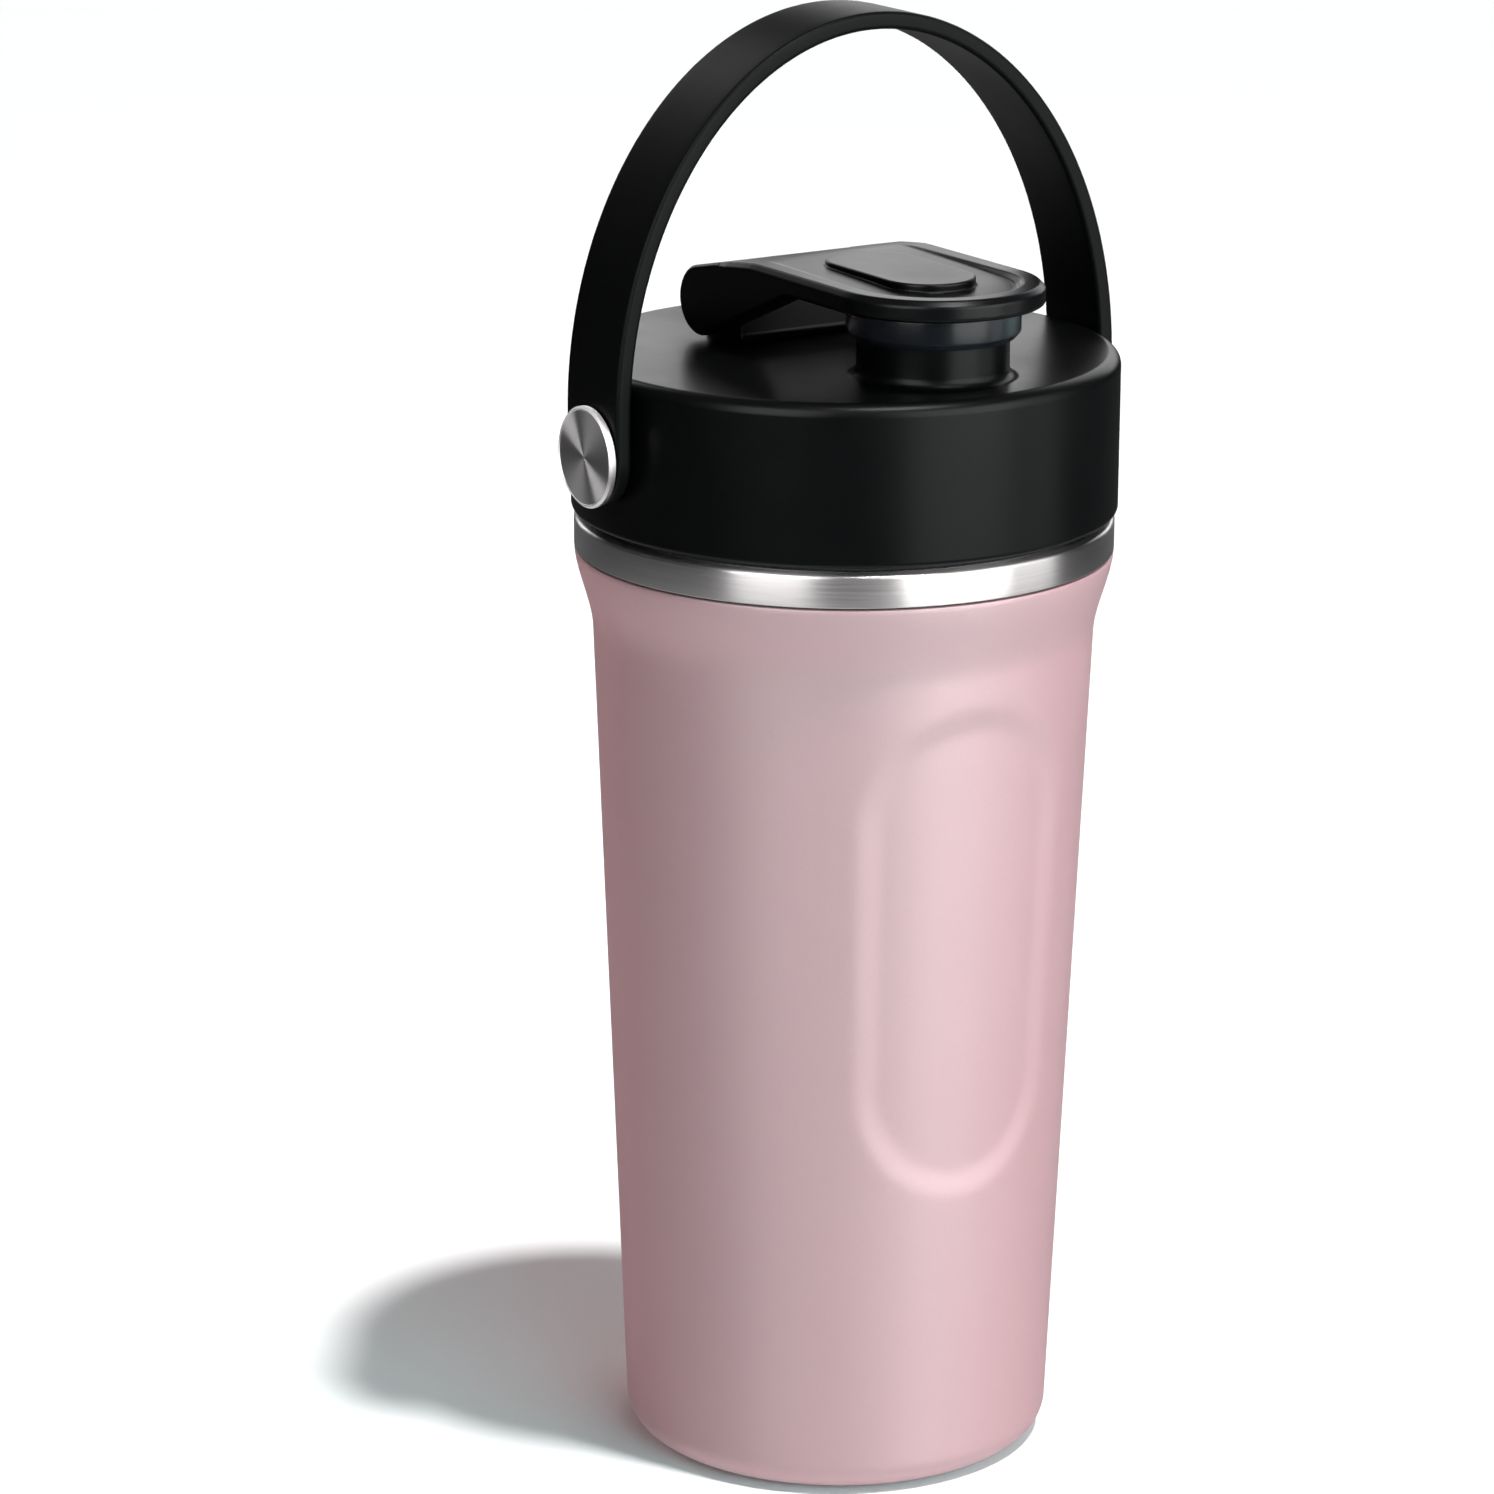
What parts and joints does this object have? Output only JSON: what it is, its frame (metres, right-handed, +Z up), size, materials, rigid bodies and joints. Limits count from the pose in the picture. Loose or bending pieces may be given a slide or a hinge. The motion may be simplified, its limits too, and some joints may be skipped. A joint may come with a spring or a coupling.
{
  "type": "protein shaker bottle",
  "caption": "Insulated steel shaker cup with a screw-on lid, hinged flip cap over a drinking spout, swinging carry strap and a pull-out mixing grid.",
  "frame": {"origin": "centre of the plane the cup's foot stands on", "axes": "+Z up the cup's axis, -Y towards the drinking spout and the front dent, X along the strap's pivots"},
  "size_m": [0.1044, 0.094, 0.254],
  "materials": {
    "powder_coat": "satin powder coat, fine orange peel",
    "satin_steel": "satin, turned round the rim",
    "brushed_steel_inside": "electropolished",
    "seal_glass": "dull",
    "getter_metal": "sintered, dull",
    "black_silicone": "matte",
    "lid_plastic": "fine matte texture",
    "cap_plastic": "semi-gloss, fine texture",
    "strap_plastic": "fine matte texture",
    "grid_plastic": "matte",
    "washer_plastic": "matte",
    "smoky_elastomer": "gloss, smoky translucent",
    "pin_steel": "ground",
    "button_steel": "circular brushed, polished edge",
    "insert_brass": "machined"
  },
  "bodies": {
    "cup": {"outer_shell": "powder_coat", "neck_band": "satin_steel", "inner_liner": "brushed_steel_inside", "base_plate": "powder_coat", "vacuum_seal_plug": "seal_glass", "vacuum_getter": "getter_metal"},
    "lid_seal": {"lid_gasket": "black_silicone"},
    "lid": {"lid_shell": "lid_plastic", "lid_plug": "lid_plastic", "hinge_pin": "pin_steel", "pivot_button_left": "button_steel", "pivot_button_right": "button_steel", "pivot_washer_left": "washer_plastic", "pivot_washer_right": "washer_plastic", "pivot_insert_left": "insert_brass", "pivot_insert_right": "insert_brass"},
    "handle": {"carry_strap": "strap_plastic", "strap_bush_left": "pin_steel", "strap_bush_right": "pin_steel"},
    "flip_cap": {"flip_cap": "cap_plastic", "spout_seal": "smoky_elastomer"},
    "mixer": {"mixing_grid": "grid_plastic"}
  },
  "joints": [
    {"name": "lid_rise", "type": "slide", "parent": "cup", "child": "lid_seal", "axis": [0, 0, 1], "range_m": [0, 0.01]},
    {"name": "lid_turn", "type": "hinge", "parent": "lid_seal", "child": "lid", "pos_m": [0, 0, 0.1671], "axis": [0, 0, 1], "range_deg": [0, 720]},
    {"name": "flip_cap_open", "type": "hinge", "parent": "lid", "child": "flip_cap", "pos_m": [0, 0.0181, 0.2026], "axis": [-1, 0, 0], "range_deg": [0, 48]},
    {"name": "handle_swing", "type": "hinge", "parent": "lid", "child": "handle", "pos_m": [0, 0, 0.1826], "axis": [1, 0, 0], "range_deg": [-125, 125]},
    {"name": "mixer_pull", "type": "slide", "parent": "lid", "child": "mixer", "axis": [0, 0, -1], "range_m": [0, 0.015]}
  ],
  "couplings": [
    {"joint": "lid_rise", "follows": "lid_turn", "m_per_rad": 0.00079577}
  ]
}
